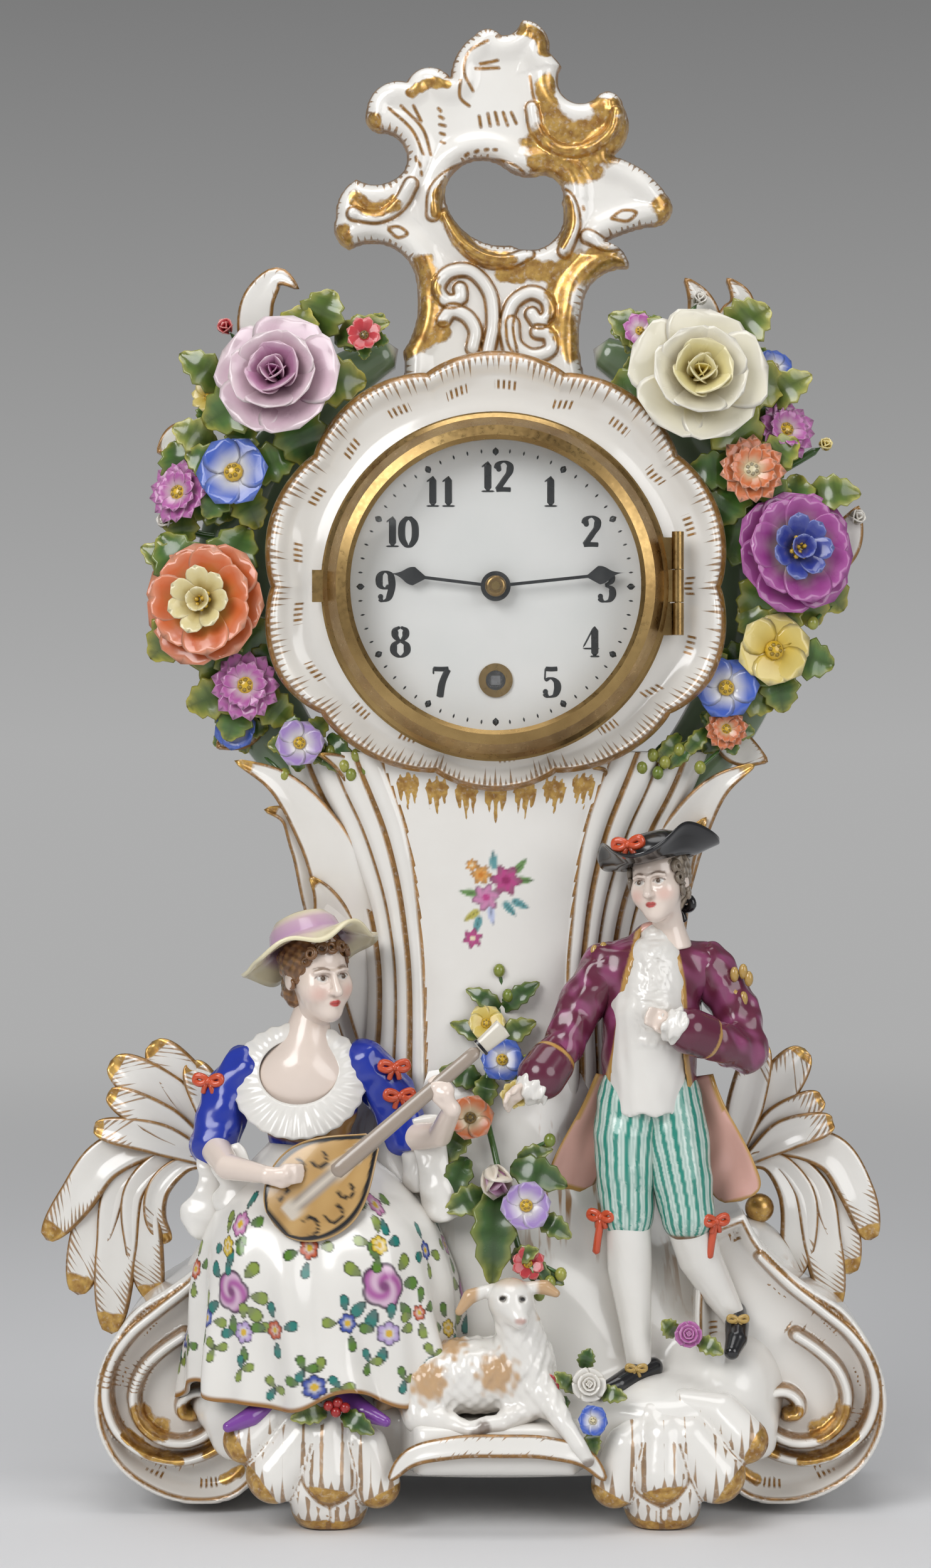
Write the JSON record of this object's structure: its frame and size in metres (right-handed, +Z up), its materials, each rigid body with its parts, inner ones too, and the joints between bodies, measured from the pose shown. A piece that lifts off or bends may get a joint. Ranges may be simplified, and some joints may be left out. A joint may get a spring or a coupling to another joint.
{
  "type": "figural mantel clock",
  "caption": "Porcelain mantel clock: pierced scroll crest, flower garlands and shepherd couple with a lamb on a scrolled base, brass hinged bezel, wind-up dial movement.",
  "frame": {"origin": "on the table under the middle of the part's box", "axes": "+Z up, the dial faces -Y, +X to the right as seen from the front"},
  "size_m": [0.244, 0.1084, 0.424],
  "materials": {
    "porcelain": "glossy white glaze with gilding",
    "flowers": "glossy hand-painted",
    "figures": "glossy hand-painted",
    "brass": "aged satin",
    "steel": "satin",
    "enamel": "white enamel",
    "hands": "black",
    "glass": "clear"
  },
  "bodies": {
    "case": {"plinth": "porcelain", "volute_feet": "porcelain", "feet": "porcelain", "rock_mound": "porcelain", "pedestal": "porcelain", "pedestal_leaves": "porcelain", "drum_case": "porcelain", "crest": "porcelain", "left_leaf_scroll": "porcelain", "right_leaf_scroll": "porcelain", "left_garland": "flowers", "right_garland": "flowers", "lady_skirt": "figures", "lady_bodice": "figures", "lady_head": "figures", "lady_hat": "figures", "lady_arms": "figures", "mandolin": "figures", "man_legs": "figures", "man_breeches": "figures", "man_torso": "figures", "man_coat": "figures", "man_arms": "figures", "man_head": "figures", "man_hat": "figures", "lamb": "figures", "pedestal_spray": "flowers", "base_flowers": "flowers", "bezel_hinge_pin": "brass", "dial_flange": "brass", "dial": "enamel", "winding_collet": "brass", "front_plate": "brass", "back_plate": "brass", "plate_pillars": "brass", "movement_can": "brass", "back_cover": "brass", "case_screws": "steel", "click": "steel", "balance_cock": "brass"},
    "bezel_door": {"bezel_ring": "brass", "bezel_glass": "glass"},
    "minute_arbor": {"centre_wheel": "brass", "cannon_pinion": "brass", "minute_hand": "hands", "hand_nut": "brass"},
    "hour_pipe": {"hour_wheel": "brass", "hour_hand": "hands"},
    "motion_wheel": {"minute_wheel": "brass"},
    "barrel": {"spring_barrel": "brass", "mainspring": "steel"},
    "winding": {"winding_arbor": "steel", "ratchet_wheel": "steel"},
    "intermediate": {"intermediate_wheel": "brass"},
    "third": {"third_wheel": "brass"},
    "fourth": {"fourth_wheel": "brass"},
    "escape": {"escape_wheel": "brass"},
    "lever": {"pallet_lever": "steel"},
    "balance": {"balance_wheel": "brass", "hairspring": "steel"}
  },
  "joints": [
    {"name": "bezel_hinge", "type": "hinge", "parent": "case", "child": "bezel_door", "pos_m": [0.0611, -0.0201, 0.26], "axis": [0, 0, 1], "range_deg": [0, 100]},
    {"name": "minute_turn", "type": "hinge", "parent": "case", "child": "minute_arbor", "pos_m": [0.01, -0.008, 0.26], "axis": [0, 1, 0], "continuous": true},
    {"name": "hour_turn", "type": "hinge", "parent": "case", "child": "hour_pipe", "pos_m": [0.01, -0.014, 0.26], "axis": [0, 1, 0], "continuous": true},
    {"name": "motion_wheel_turn", "type": "hinge", "parent": "case", "child": "motion_wheel", "pos_m": [0.02159, -0.0116, 0.26311], "axis": [0, 1, 0], "continuous": true},
    {"name": "intermediate_turn", "type": "hinge", "parent": "case", "child": "intermediate", "pos_m": [-0.00085, -0.0065, 0.24563], "axis": [0, 1, 0], "continuous": true},
    {"name": "barrel_turn", "type": "hinge", "parent": "case", "child": "barrel", "pos_m": [0.01, -0.0055, 0.2336], "axis": [0, 1, 0], "continuous": true},
    {"name": "third_turn", "type": "hinge", "parent": "case", "child": "third", "pos_m": [0.01926, -0.0065, 0.27103], "axis": [0, 1, 0], "continuous": true},
    {"name": "fourth_turn", "type": "hinge", "parent": "case", "child": "fourth", "pos_m": [0.00807, -0.0065, 0.2751], "axis": [0, 1, 0], "continuous": true},
    {"name": "escape_turn", "type": "hinge", "parent": "case", "child": "escape", "pos_m": [-0.00348, -0.0065, 0.2751], "axis": [0, 1, 0], "continuous": true},
    {"name": "winding_turn", "type": "hinge", "parent": "case", "child": "winding", "pos_m": [0.01, -0.008, 0.2336], "axis": [0, 1, 0], "continuous": true},
    {"name": "lever_rock", "type": "hinge", "parent": "case", "child": "lever", "pos_m": [-0.00678, 0.0085, 0.26938], "axis": [0, 1, 0], "range_deg": [-4, 4]},
    {"name": "balance_swing", "type": "hinge", "parent": "case", "child": "balance", "pos_m": [-0.01664, 0.013, 0.26579], "axis": [0, 1, 0], "range_deg": [-150, 150]}
  ],
  "couplings": [
    {"joint": "hour_turn", "follows": "minute_turn", "ratio": 0.083333},
    {"joint": "motion_wheel_turn", "follows": "minute_turn", "ratio": -0.33333},
    {"joint": "intermediate_turn", "follows": "minute_turn", "ratio": -0.2},
    {"joint": "barrel_turn", "follows": "minute_turn", "ratio": 0.057143},
    {"joint": "third_turn", "follows": "minute_turn", "ratio": -8},
    {"joint": "fourth_turn", "follows": "minute_turn", "ratio": 60},
    {"joint": "escape_turn", "follows": "minute_turn", "ratio": -600}
  ]
}
